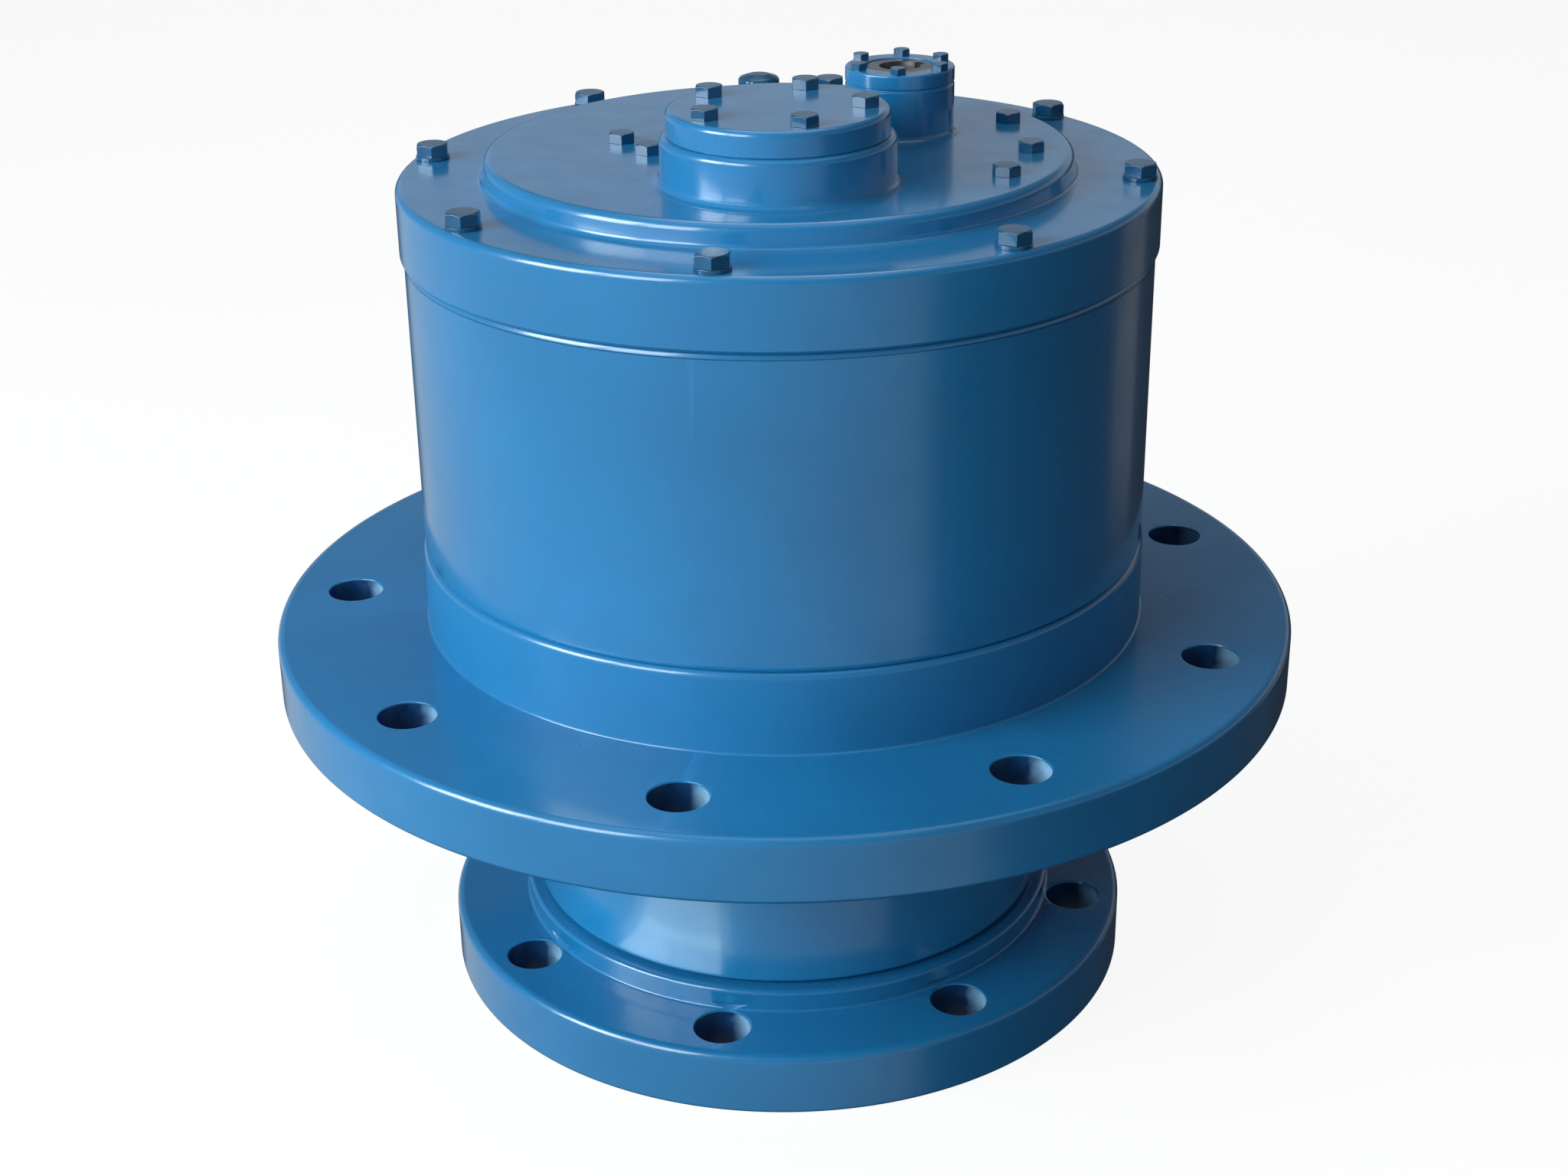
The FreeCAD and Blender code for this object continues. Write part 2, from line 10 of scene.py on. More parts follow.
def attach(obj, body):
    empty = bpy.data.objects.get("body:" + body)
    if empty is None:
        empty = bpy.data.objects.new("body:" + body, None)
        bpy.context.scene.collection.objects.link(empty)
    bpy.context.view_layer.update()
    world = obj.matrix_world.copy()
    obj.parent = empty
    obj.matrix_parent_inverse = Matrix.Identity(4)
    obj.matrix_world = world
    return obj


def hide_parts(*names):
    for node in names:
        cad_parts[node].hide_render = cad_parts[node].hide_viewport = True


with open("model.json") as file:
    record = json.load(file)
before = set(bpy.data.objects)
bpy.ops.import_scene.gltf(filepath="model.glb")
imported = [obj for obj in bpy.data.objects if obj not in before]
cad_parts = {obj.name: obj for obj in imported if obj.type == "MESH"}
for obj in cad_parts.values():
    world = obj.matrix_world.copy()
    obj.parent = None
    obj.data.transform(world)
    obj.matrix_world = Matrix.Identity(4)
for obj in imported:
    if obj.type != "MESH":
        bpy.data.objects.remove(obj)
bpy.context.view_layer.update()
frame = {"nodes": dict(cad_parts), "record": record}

MM = 0.001

# ---------------------------------------------------------------- dimensions
Z_OUT_TOP, Z_STEP, Z_NECK = 35.5, 48.0, 49.5
Z_MF_BOT, Z_MF_TOP = 180.8, 215.7
Z_SEAM_LOW, Z_SEAM_TOP = 260.0, 422.2
Z_COVER, Z_DISC, Z_HUB, Z_CAP = 458.7, 470.7, 494.7, 507.7
Z_SLEEVE, Z_RING = 497.7, 505.7
R_OUT, R_STEP, R_NECK, R_MF = 195.3, 153.0, 146.0, 282.0
R_LOW, R_RING, R_COVER = 199.0, 198.0, 200.0
R_HUB, R_CAP, R_SLEEVE = 59.0, 55.6, 29.0
A_CB, A_HS = 272.8, 15.0
A_HUB, A_SLV, CD_TOP = 282.2, 38.0, 72.0
A_CAPB, A_RS = 227.2, 37.2
A_BR, R_BR = 106.0, 167.0
A_DR, Z_DR = 90.0, 238.0
GAL = [(83.6, 183.1), (68.4, 203.0), (131.5, 341.8), (131.5, 4.8), (134.0, 33.8)]


def pol(r, a, z=0.0):
    t = math.radians(a)
    return Vector((r * math.cos(t), r * math.sin(t), z))


PH, PS = pol(CD_TOP, A_HUB), pol(CD_TOP, A_SLV)


def ring_of(n, r, a0):
    return [pol(r, a0 + 360.0 * k / n) for k in range(n)]


# ---------------------------------------------------------------- mesh code
def rounded(pts, step=7.5, support=0.5):
    """Closed (r, z[, fillet]) outline in mm, fillets as arcs, a support point
    on the flats beside each fillet so that flats stay flat."""
    n, out = len(pts), []
    P = [Vector((p[0], p[1])) for p in pts]
    F = [p[2] if len(p) > 2 else 0.0 for p in pts]
    for i in range(n):
        a, b, c = P[i - 1], P[i], P[(i + 1) % n]
        if F[i] <= 0:
            out.append(b)
            continue
        u, w = (a - b).normalized(), (c - b).normalized()
        half = math.acos(max(-1.0, min(1.0, u.dot(w)))) / 2
        t = F[i] / math.tan(half)
        cen = b + (u + w).normalized() * (F[i] / math.sin(half))
        s, e = b + u * t, b + w * t
        a0 = math.atan2(*(s - cen).yx)
        a1 = math.atan2(*(e - cen).yx)
        d = (a1 - a0 + math.pi) % (2 * math.pi) - math.pi
        k = max(3, int(math.ceil(abs(math.degrees(d)) / step)))
        sup = min(support, F[i])
        if (a - s).length > sup * 2.2:
            out.append(s + u * sup)
        out += [cen + Vector((math.cos(a0 + d * j / k), math.sin(a0 + d * j / k))) * F[i]
                for j in range(k + 1)]
        if (c - e).length > sup * 2.2:
            out.append(e + w * sup)
    return out


def lathe_bm(outline, seg, at=Vector((0, 0, 0)), turn=0.0):
    bm = bmesh.new()
    rings = []
    for p in outline:
        if p[0] < 1e-6:
            rings.append([bm.verts.new(Vector((at.x, at.y, p[1])) * MM)])
        else:
            rings.append([bm.verts.new((at.x * MM + p[0] * MM * math.cos(turn + 2 * math.pi * k / seg),
                                        at.y * MM + p[0] * MM * math.sin(turn + 2 * math.pi * k / seg),
                                        p[1] * MM)) for k in range(seg)])
    n = len(rings)
    for i in range(n):
        A, B = rings[i], rings[(i + 1) % n]
        if len(A) == 1 and len(B) == 1:
            continue
        for k in range(seg):
            k2 = (k + 1) % seg
            if len(A) == 1:
                bm.faces.new((A[0], B[k2], B[k]))
            elif len(B) == 1:
                bm.faces.new((A[k], A[k2], B[0]))
            else:
                bm.faces.new((A[k], A[k2], B[k2], B[k]))
    bmesh.ops.recalc_face_normals(bm, faces=bm.faces)
    return bm


def to_obj(bm, name):
    me = bpy.data.meshes.new(name)
    bm.to_mesh(me)
    bm.free()
    o = bpy.data.objects.new(name, me)
    bpy.context.scene.collection.objects.link(o)
    return o


def lathe(name, pts, seg=192, at=Vector((0, 0, 0)), turn=0.0, step=7.5, support=0.5):
    return to_obj(lathe_bm(rounded(pts, step, support), seg, at, turn), name)


def prism_bm(poly, z0, z1):
    """poly: list of Vector (mm), counter-clockwise."""
    bm = bmesh.new()
    lo = [bm.verts.new(Vector((p.x, p.y, z0)) * MM) for p in poly]
    hi = [bm.verts.new(Vector((p.x, p.y, z1)) * MM) for p in poly]
    n = len(poly)
    bm.faces.new(list(reversed(lo)))
    bm.faces.new(hi)
    for k in range(n):
        bm.faces.new((lo[k], lo[(k + 1) % n], hi[(k + 1) % n], hi[k]))
    return bm


def merge(name, objs):
    """Joins objects into one new object of the given name and removes the originals, without operators."""
    bm = bmesh.new()
    for o in objs:
        me = o.data.copy()
        me.transform(o.matrix_world)
        bm.from_mesh(me)
        bpy.data.meshes.remove(me)
    for o in objs:
        me = o.data
        bpy.data.objects.remove(o)
        bpy.data.meshes.remove(me)
    return to_obj(bm, name)


def apply_mods(o):
    dg = bpy.context.evaluated_depsgraph_get()
    me = bpy.data.meshes.new_from_object(o.evaluated_get(dg))
    old = o.data
    o.modifiers.clear()
    o.data = me
    bpy.data.meshes.remove(old)
    return o


def boolean(o, cutter, op="DIFFERENCE"):
    m = o.modifiers.new("b", "BOOLEAN")
    m.operation, m.object, m.solver = op, cutter, "EXACT"
    bpy.context.view_layer.update()
    apply_mods(o)
    me = cutter.data
    bpy.data.objects.remove(cutter)
    bpy.data.meshes.remove(me)
    return o


def bevel(o, width, segs=2, angle=30):
    m = o.modifiers.new("v", "BEVEL")
    m.width, m.segments = width * MM, segs
    m.limit_method, m.angle_limit = "ANGLE", math.radians(angle)
    m.use_clamp_overlap = True
    m.harden_normals = False
    bpy.context.view_layer.update()
    return apply_mods(o)


def smooth(o, angle=28.0):
    me = o.data
    me.shade_smooth()
    me.set_sharp_from_angle(angle=math.radians(angle))
    m = o.modifiers.new("n", "WEIGHTED_NORMAL")
    m.mode, m.weight, m.keep_sharp = "FACE_AREA", 50, True
    bpy.context.view_layer.update()
    return apply_mods(o)


def hole_cutters(name, where, r, z0, z1, soft=1.0, seg=56):
    """Through-hole cutters whose mouths open out a little at both faces z0 and z1."""
    objs = []
    for i, p in enumerate(where):
        pts = [(0, z0 - 4), (r + soft + 4, z0 - 4), (r + soft, z0), (r + soft * 0.35, z0 + soft * 0.3),
               (r, z0 + soft), (r, z1 - soft), (r + soft * 0.35, z1 - soft * 0.3), (r + soft, z1),
               (r + soft + 4, z1 + 4), (0, z1 + 4)]
        objs.append(to_obj(lathe_bm([Vector(q) for q in pts], seg, p), name + str(i)))
    return merge(name, objs)


def spool(r, z0, z1, at=Vector((0, 0, 0)), seg=48, name="cut"):
    return to_obj(lathe_bm([Vector((0, z0)), Vector((r, z0)), Vector((r, z1)), Vector((0, z1))], seg, at), name)


# ---------------------------------------------------------------- materials
def nodes_of(name):
    m = bpy.data.materials.new(name)
    m.use_nodes = True
    nt = m.node_tree
    nt.nodes.clear()
    out = nt.nodes.new("ShaderNodeOutputMaterial")
    b = nt.nodes.new("ShaderNodeBsdfPrincipled")
    nt.links.new(b.outputs[0], out.inputs[0])
    return m, nt, b


def link(nt, a, b):
    nt.links.new(a, b)


def noise_node(nt, coord, scale, detail=3.0, rough=0.5, stretch=None):
    n = nt.nodes.new("ShaderNodeTexNoise")
    n.inputs["Scale"].default_value = scale
    n.inputs["Detail"].default_value = detail
    n.inputs["Roughness"].default_value = rough
    if stretch:
        mp = nt.nodes.new("ShaderNodeMapping")
        mp.inputs["Scale"].default_value = stretch
        link(nt, coord, mp.inputs["Vector"])
        link(nt, mp.outputs[0], n.inputs["Vector"])
    else:
        link(nt, coord, n.inputs["Vector"])
    return n.outputs["Fac"]


def ramp(nt, fac, stops):
    r = nt.nodes.new("ShaderNodeValToRGB")
    r.color_ramp.elements[0].position, r.color_ramp.elements[0].color = stops[0][0], (*stops[0][1], 1)
    r.color_ramp.elements[1].position, r.color_ramp.elements[1].color = stops[-1][0], (*stops[-1][1], 1)
    for p, c in stops[1:-1]:
        e = r.color_ramp.elements.new(p)
        e.color = (*c, 1)
    link(nt, fac, r.inputs[0])
    return r.outputs["Color"]


def maprange(nt, v, a, b, c, d):
    m = nt.nodes.new("ShaderNodeMapRange")
    for k, x in zip(("From Min", "From Max", "To Min", "To Max"), (a, b, c, d)):
        m.inputs[k].default_value = x
    link(nt, v, m.inputs["Value"])
    return m.outputs[0]


def math_node(nt, op, a, b=None):
    m = nt.nodes.new("ShaderNodeMath")
    m.operation = op
    for i, x in enumerate((a, b)):
        if x is None:
            continue
        if isinstance(x, (int, float)):
            m.inputs[i].default_value = x
        else:
            link(nt, x, m.inputs[i])
    return m.outputs[0]


def mix_rgb(nt, fac, a, b, mode="MIX"):
    m = nt.nodes.new("ShaderNodeMix")
    m.data_type, m.blend_type = "RGBA", mode
    ins = {"f": m.inputs[0], "a": m.inputs[6], "b": m.inputs[7]}
    for k, x in (("f", fac), ("a", a), ("b", b)):
        if isinstance(x, (int, float)):
            ins[k].default_value = x
        elif isinstance(x, tuple):
            ins[k].default_value = (*x, 1)
        else:
            link(nt, x, ins[k])
    return m.outputs[2]


def bump(nt, h, strength, dist, normal=None):
    b = nt.nodes.new("ShaderNodeBump")
    b.inputs["Strength"].default_value = strength
    b.inputs["Distance"].default_value = dist
    link(nt, h, b.inputs["Height"])
    if normal is not None:
        link(nt, normal, b.inputs["Normal"])
    return b.outputs[0]


def paint(name, hue, cast=1.0, rough=0.27, dust=0.5, coat=0.9, coat_rough=0.13):
    """Gloss machine enamel: slight shade drift, orange peel, sand-cast waviness under it."""
    m, nt, b = nodes_of(name)
    tc = nt.nodes.new("ShaderNodeTexCoord").outputs["Object"]
    big = noise_node(nt, tc, 7.0, 2.0, 0.5)
    mid = noise_node(nt, tc, 46.0, 4.0, 0.55)
    dark = tuple(c * 0.88 for c in hue)
    lite = tuple(min(1.0, c * 1.10) for c in hue)
    col = ramp(nt, big, [(0.30, dark), (0.52, hue), (0.72, lite)])
    col = mix_rgb(nt, maprange(nt, mid, 0.42, 0.75, 0.0, 0.22), col, tuple(c * 0.76 for c in hue))
    # fine dust settles on what faces up
    geo = nt.nodes.new("ShaderNodeNewGeometry")
    sep = nt.nodes.new("ShaderNodeSeparateXYZ")
    link(nt, geo.outputs["Normal"], sep.inputs[0])
    up = maprange(nt, sep.outputs[2], 0.75, 1.0, 0.0, 1.0)
    fine = noise_node(nt, tc, 320.0, 5.0, 0.65)
    d = math_node(nt, "MULTIPLY", up, maprange(nt, fine, 0.45, 0.75, 0.0, 0.08 * dust))
    col = mix_rgb(nt, d, col, (0.30, 0.33, 0.35))
    # thin paint on the outer edges
    edge = maprange(nt, geo.outputs["Pointiness"], 0.53, 0.62, 0.0, 0.35)
    col = mix_rgb(nt, edge, col, tuple(min(1.0, c * 1.5 + 0.01) for c in hue))
    link(nt, col, b.inputs["Base Color"])
    rr = maprange(nt, mid, 0.3, 0.7, rough - 0.05, rough + 0.07)
    rr = math_node(nt, "ADD", rr, math_node(nt, "MULTIPLY", d, 1.2))
    link(nt, rr, b.inputs["Roughness"])
    n = bump(nt, noise_node(nt, tc, 48.0, 2.0, 0.5), 0.16 * cast, 0.0009)
    n = bump(nt, noise_node(nt, tc, 150.0, 2.0, 0.5), 0.035 * cast, 0.0005, n)
    link(nt, n, b.inputs["Normal"])
    b.inputs["IOR"].default_value = 1.5
    b.inputs["Coat Weight"].default_value = coat
    b.inputs["Coat Roughness"].default_value = coat_rough
    return m


def metal(name, lo, hi, rough, scale=(1, 1, 18), bumpy=0.15):
    m, nt, b = nodes_of(name)
    tc = nt.nodes.new("ShaderNodeTexCoord").outputs["Object"]
    lines = noise_node(nt, tc, 60.0, 4.0, 0.6, scale)
    blot = noise_node(nt, tc, 25.0, 3.0, 0.5)
    col = ramp(nt, blot, [(0.35, lo), (0.7, hi)])
    col = mix_rgb(nt, maprange(nt, lines, 0.4, 0.7, 0.0, 0.3), col, tuple(c * 0.7 for c in lo))
    link(nt, col, b.inputs["Base Color"])
    b.inputs["Metallic"].default_value = 1.0
    link(nt, maprange(nt, lines, 0.3, 0.7, rough - 0.06, rough + 0.1), b.inputs["Roughness"])
    link(nt, bump(nt, lines, bumpy, 0.0002), b.inputs["Normal"])
    return m


def dull(name, lo, hi, rough):
    m, nt, b = nodes_of(name)
    tc = nt.nodes.new("ShaderNodeTexCoord").outputs["Object"]
    f = noise_node(nt, tc, 140.0, 4.0, 0.6)
    link(nt, ramp(nt, f, [(0.35, lo), (0.7, hi)]), b.inputs["Base Color"])
    link(nt, maprange(nt, f, 0.3, 0.7, rough - 0.08, rough + 0.1), b.inputs["Roughness"])
    link(nt, bump(nt, noise_node(nt, tc, 600.0, 3.0, 0.6), 0.25, 0.0003), b.inputs["Normal"])
    return m


BLUE = (0.011, 0.185, 0.425)
M_CAST = paint("blue_casting", BLUE, 1.0, 0.30)
M_RING = paint("blue_turned", BLUE, 0.55, 0.28)
M_BELT = paint("blue_belt", BLUE, 1.0, 0.48, 0.5, 0.12, 0.30)
# fasteners: the casing's blue paint darkened to 0.42 as painted shade, so the heads read dark
M_BOLT = paint("blue_fastener", tuple(c * 0.42 for c in BLUE), 0.4, 0.26, 0.2, 0.45, 0.08)


def bore_painted_shade_and_light(name):
    """Walls of the flange holes: painted shade, dark all round, with a painted patch of light on the wall side that
    faces the window.
    """
    m, nt, b = nodes_of(name)
    tc = nt.nodes.new("ShaderNodeTexCoord")
    sep = nt.nodes.new("ShaderNodeSeparateXYZ")
    link(nt, tc.outputs["Normal"], sep.inputs[0])
    # painted light: the wall side that faces the window gets a pale patch, as if lit by it, with a noisy border
    a = math.radians(12.2 - 84.0)
    toward = math_node(nt, "ADD", math_node(nt, "MULTIPLY", sep.outputs[0], math.sin(a)),
                       math_node(nt, "MULTIPLY", sep.outputs[1], -math.cos(a)))
    f = noise_node(nt, tc.outputs["Object"], 150.0, 3.0, 0.6)
    edge = math_node(nt, "ADD", toward, math_node(nt, "MULTIPLY", math_node(nt, "SUBTRACT", f, 0.5), 0.35))
    painted_light_mask = maprange(nt, edge, 0.42, 0.98, 0.0, 1.0)
    # painted shade: the rest of the bore is dark navy, as if in shadow
    dark = ramp(nt, f, [(0.3, (0.003, 0.028, 0.095)), (0.7, (0.005, 0.050, 0.150))])
    link(nt, mix_rgb(nt, painted_light_mask, dark, (0.24, 0.46, 0.68)), b.inputs["Base Color"])
    link(nt, maprange(nt, f, 0.3, 0.7, 0.30, 0.50), b.inputs["Roughness"])
    link(nt, bump(nt, f, 0.2, 0.0006), b.inputs["Normal"])
    b.inputs["IOR"].default_value = 1.5
    return m


# bore wall material: painted shade with a painted patch of window light
M_BORE_PAINTED_SHADE_LIGHT = bore_painted_shade_and_light("blue_bore_painted_shade_and_light")
MATS = {
    "blue_casting": M_CAST,
    "blue_fastener": M_BOLT,
    "steel_shaft": metal("steel_shaft", (0.42, 0.42, 0.43), (0.60, 0.60, 0.61), 0.28),
    "steel_gear": metal("steel_gear", (0.30, 0.30, 0.31), (0.46, 0.46, 0.47), 0.34, (1, 1, 6)),
    "steel_bearing": metal("steel_bearing", (0.58, 0.58, 0.59), (0.72, 0.72, 0.73), 0.15, (1, 1, 30), 0.05),
    "steel_plain": metal("steel_plain", (0.26, 0.26, 0.27), (0.40, 0.40, 0.41), 0.40),
    "bronze": metal("bronze", (0.48, 0.29, 0.11), (0.66, 0.44, 0.20), 0.32),
    "nitrile": dull("nitrile", (0.010, 0.010, 0.011), (0.028, 0.028, 0.030), 0.62),
    "brake_lining": dull("brake_lining", (0.05, 0.04, 0.035), (0.12, 0.10, 0.08), 0.82),
}
SLOT = {s["node"]: s["material_slot"] for s in frame["record"]["subparts"]}
for n, o in frame["nodes"].items():
    o.data.materials.clear()
    o.data.materials.append(MATS[SLOT[n]])


def place(o, mat, body, *cad):
    o.data.materials.clear()
    o.data.materials.append(mat)
    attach(o, body)
    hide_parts(*cad)
    return o


def dark_bores(o, spots, r):
    """Painted shade on the walls of the through holes at the given spots (mm): they take the bore material, dark with a
    painted patch of light.
    """
    me = o.data
    n = len(me.polygons)
    cen, nor = np.empty(n * 3), np.empty(n * 3)
    me.polygons.foreach_get("center", cen)
    me.polygons.foreach_get("normal", nor)
    cen, nor = cen.reshape(n, 3), nor.reshape(n, 3)
    idx = np.zeros(n, dtype=np.int32)
    for p in spots:
        near = np.hypot(cen[:, 0] - p.x * MM, cen[:, 1] - p.y * MM) < (r + 0.1) * MM
        idx[near & (np.abs(nor[:, 2]) < 0.35)] = 1
    me.materials.append(M_BORE_PAINTED_SHADE_LIGHT)
    me.polygons.foreach_set("material_index", idx)
    me.update()
    return o


# ---------------------------------------------------------------- output flange
flange = lathe("output_flange_disc", [
    (0, 5), (99, 5), (100, 4), (100, 0), (R_OUT, 0, 2.2), (R_OUT, Z_OUT_TOP, 4.4),
    (R_STEP, Z_OUT_TOP, 1.4), (R_STEP, Z_STEP, 2.4), (95, Z_STEP), (95, 30), (0, 30)], 240)
boolean(flange, hole_cutters("c", ring_of(8, 169.5, 270.0), 15, 0, Z_OUT_TOP, 1.0))
boolean(flange, merge("c", [to_obj(lathe_bm([Vector(q) for q in (
    (0, 2), (13, 2), (13, 22), (8.5, 22), (8.5, 33), (0, 33))], 40, p), "cb") for p in ring_of(8, 70.0, 22.5)]))
dark_bores(place(smooth(flange), M_CAST, "output", "output_flange"), ring_of(8, 169.5, 270.0), 15)

# ---------------------------------------------------------------- bearing neck
neck_o = lathe("neck", [
    (125, Z_NECK), (R_NECK, Z_NECK, 2.2), (R_NECK, 207), (125, 207), (125, 160), (112, 160), (112, 117),
    (125, 117)], 288)
neck_o = place(smooth(neck_o), M_CAST, "casing", "bearing_neck")

# ---------------------------------------------------------------- mounting flange
foot = [(R_NECK + 7 - 7 * math.cos(math.radians(15 * k)), Z_MF_BOT - 7 + 7 * math.sin(math.radians(15 * k)))
        for k in range(7)]
mfl = lathe("mounting_flange_disc", [(R_NECK, 207)] + foot + [
    (R_MF, Z_MF_BOT, 2.6), (R_MF, Z_MF_TOP, 4.2), (157, Z_MF_TOP), (157, 207)], 288)
boolean(mfl, hole_cutters("c", ring_of(9, 244.0, 270.0), 15, Z_MF_BOT, Z_MF_TOP, 1.0))
boolean(mfl, merge("c", [to_obj(lathe_bm([Vector(q) for q in (
    (0, Z_MF_BOT - 2), (10.2, Z_MF_BOT - 2), (10.2, Z_MF_BOT), (9.5, Z_MF_BOT + 0.7), (9.5, Z_MF_BOT + 13),
    (6.75, Z_MF_BOT + 13), (6.75, Z_MF_TOP + 2), (0, Z_MF_TOP + 2))], 40, p), "cb")
    for p in ring_of(12, 185.0, A_HS)]))
dark_bores(place(smooth(mfl), M_CAST, "casing", "mounting_flange"), ring_of(9, 244.0, 270.0), 15)

# ---------------------------------------------------------------- lower housing belt
flare = [(R_LOW + 1.2 - 1.2 * math.sin(math.radians(22.5 * k)), Z_MF_TOP + 1.2 - 1.2 * math.cos(math.radians(22.5 * k)))
         for k in range(5)]
low = lathe("lower_belt", [(157, Z_MF_TOP)] + flare + [
    (R_LOW, Z_SEAM_LOW, 3.6), (176.3, Z_SEAM_LOW), (176.3, Z_SEAM_LOW - 2.7),
    (173.2, Z_SEAM_LOW - 2.7), (173.2, Z_SEAM_LOW), (157, Z_SEAM_LOW)], 288)
boolean(low, merge("c", [spool(6.75, Z_MF_TOP - 2, Z_SEAM_LOW + 2, p, 32) for p in ring_of(12, 185.0, A_HS)] +
                   [spool(5, Z_SEAM_LOW - 12, Z_SEAM_LOW + 2, p, 24) for p in ring_of(2, 185.0, 0.0)]))
seat = to_obj(lathe_bm([Vector(q) for q in ((0, 150), (8, 150), (8, 197), (12.5, 197), (12.5, 212), (0, 212))], 48), "seat")
seat.data.transform(Matrix.Translation((0, 0, Z_DR * MM)) @ Matrix.Rotation(math.radians(-90), 4, "X"))
boolean(low, seat)
low_o = place(smooth(low), M_BELT, "casing", "lower_housing")
low_o.data.materials.append(M_CAST)     # rounded edges keep the full gloss
for f in low_o.data.polygons:
    if f.normal.z > 0.1:
        f.material_index = 1


# ---------------------------------------------------------------- ring gear housing
def inv_a(x):
    return math.tan(x) - x


def tooth_outline(n, m, r_root, r_tip, slack, phase):
    rp = m * n / 2.0
    al = math.radians(20.0)
    rb = rp * math.cos(al)
    base = math.pi / (2 * n) + inv_a(al) - slack / rp
    half = lambda r: base - inv_a(math.acos(min(1.0, rb / max(r, rb))))
    pts = []
    for k in range(n):
        c = math.radians(phase) + 2 * math.pi * k / n
        rs = [r_root + (r_tip - r_root) * j / 5 for j in range(6)]
        for r in rs:
            a = c - half(r)
            pts.append(Vector((r * math.cos(a), r * math.sin(a), 0)))
        pts.append(Vector((r_tip * math.cos(c), r_tip * math.sin(c), 0)))
        for r in reversed(rs):
            a = c + half(r)
            pts.append(Vector((r * math.cos(a), r * math.sin(a), 0)))
        a = c + math.pi / n
        pts.append(Vector((r_root * math.cos(a), r_root * math.sin(a), 0)))
    return pts


def ring_gear():
    inner = tooth_outline(66, 5.0, 165 - 4.5, 165 + 6.25, -0.14, 180.0 / 66)
    n = len(inner)
    prof = [(R_RING - 1.5, Z_SEAM_LOW), (R_RING - 0.4, Z_SEAM_LOW + 0.9), (R_RING, Z_SEAM_LOW + 2.0),
            (R_RING, Z_SEAM_LOW + 3.0)]
    prof += [(R_RING, Z_SEAM_LOW + 3.0 + (Z_SEAM_TOP - Z_SEAM_LOW - 6.0) * j / 6) for j in range(1, 7)]
    prof += [(R_RING, Z_SEAM_TOP - 3.6), (R_RING - 0.1, Z_SEAM_TOP - 2.6), (R_RING - 0.5, Z_SEAM_TOP - 1.5),
             (R_RING - 1.0, Z_SEAM_TOP - 0.8), (R_RING - 1.9, Z_SEAM_TOP)]
    bm = bmesh.new()
    ang = [math.atan2(p.y, p.x) for p in inner]
    rows = [[bm.verts.new(Vector((p.x, p.y, Z_SEAM_LOW)) * MM) for p in inner]]
    for r, z in prof:
        rows.append([bm.verts.new((r * MM * math.cos(a), r * MM * math.sin(a), z * MM)) for a in ang])
    rows.append([bm.verts.new(Vector((p.x, p.y, Z_SEAM_TOP)) * MM) for p in inner])
    for i in range(len(rows)):
        A, B = rows[i], rows[(i + 1) % len(rows)]
        for k in range(n):
            bm.faces.new((A[k], A[(k + 1) % n], B[(k + 1) % n], B[k]))
    bmesh.ops.recalc_face_normals(bm, faces=bm.faces)
    return to_obj(bm, "ring_housing")


ring = ring_gear()
boolean(ring, merge("c", [spool(5, Z_SEAM_TOP - 28, Z_SEAM_TOP + 3, p, 24) for p in ring_of(8, 188.0, A_CB)] +
                    [spool(6, Z_SEAM_LOW - 3, Z_SEAM_LOW + 26, p, 24) for p in ring_of(12, 185.0, A_HS)] +
                    [spool(5, Z_SEAM_LOW - 3, Z_SEAM_LOW + 12, p, 24) for p in ring_of(2, 185.0, 0.0)]))
place(smooth(ring), M_RING, "casing", "ring_gear_housing")

# ---------------------------------------------------------------- top cover
cover = lathe("cover", [
    (176, Z_SEAM_TOP), (R_COVER - 1.6, Z_SEAM_TOP), (R_COVER, Z_SEAM_TOP + 1.4, 0.8),
    (R_COVER, Z_COVER, 3.8), (155.4, Z_COVER, 3.0), (153.9, Z_DISC, 4.6), (0, Z_DISC),
    (0, 466.8), (36, 466.8), (36, 449.8), (43, 449.8, 1.0),
    (43, 458.7, 3.0), (142, 458.7, 6.0), (150, 450.5, 6.0), (176, 450.5, 5.0)], 256)
cuts = [spool(45, 440, 480, PH, 96), spool(31, 440, 480, PS, 96)]
cuts += [spool(5.5, Z_SEAM_TOP - 3, Z_COVER + 3, p, 32) for p in ring_of(8, 188.0, A_CB)]
cuts += [spool(4, Z_DISC - 9, Z_DISC + 3, pol(r, a), 24) for r, a in GAL]
cuts.append(spool(6, 440, Z_COVER + 3, pol(R_BR, A_BR), 32))
boolean(cover, merge("c", cuts))
# hub of the front station with a small cast fillet at its foot
hub = lathe("hub", [
    (21, Z_DISC), (21, 467), (26, 467), (26, 451.6), (33, 451.6, 1.0), (33, 460.0), (R_HUB + 5, 460.0),
    (R_HUB + 5, Z_DISC + 0.10), (R_HUB + 3.0, Z_DISC + 0.28), (R_HUB + 1.4, Z_DISC + 0.95),
    (R_HUB + 0.35, Z_DISC + 2.3), (R_HUB, Z_DISC + 4.4), (R_HUB, Z_HUB, 3.2), (37, Z_HUB), (37, Z_DISC)], 160, PH)
boolean(hub, merge("c", [spool(4, Z_HUB - 16, Z_HUB + 3, p + PH, 24) for p in ring_of(5, 43.0, A_CAPB)]))
boss = lathe("boss", [
    (R_SLEEVE, 449.8), (37, 449.8, 1.0), (37, 469.0), (R_SLEEVE + 3.2, 469.0), (R_SLEEVE + 3.2, Z_DISC + 0.08),
    (R_SLEEVE + 1.4, Z_DISC + 0.35), (R_SLEEVE + 0.45, Z_DISC + 1.2), (R_SLEEVE, Z_DISC + 2.6),
    (R_SLEEVE, Z_DISC - 6)], 96, PS)
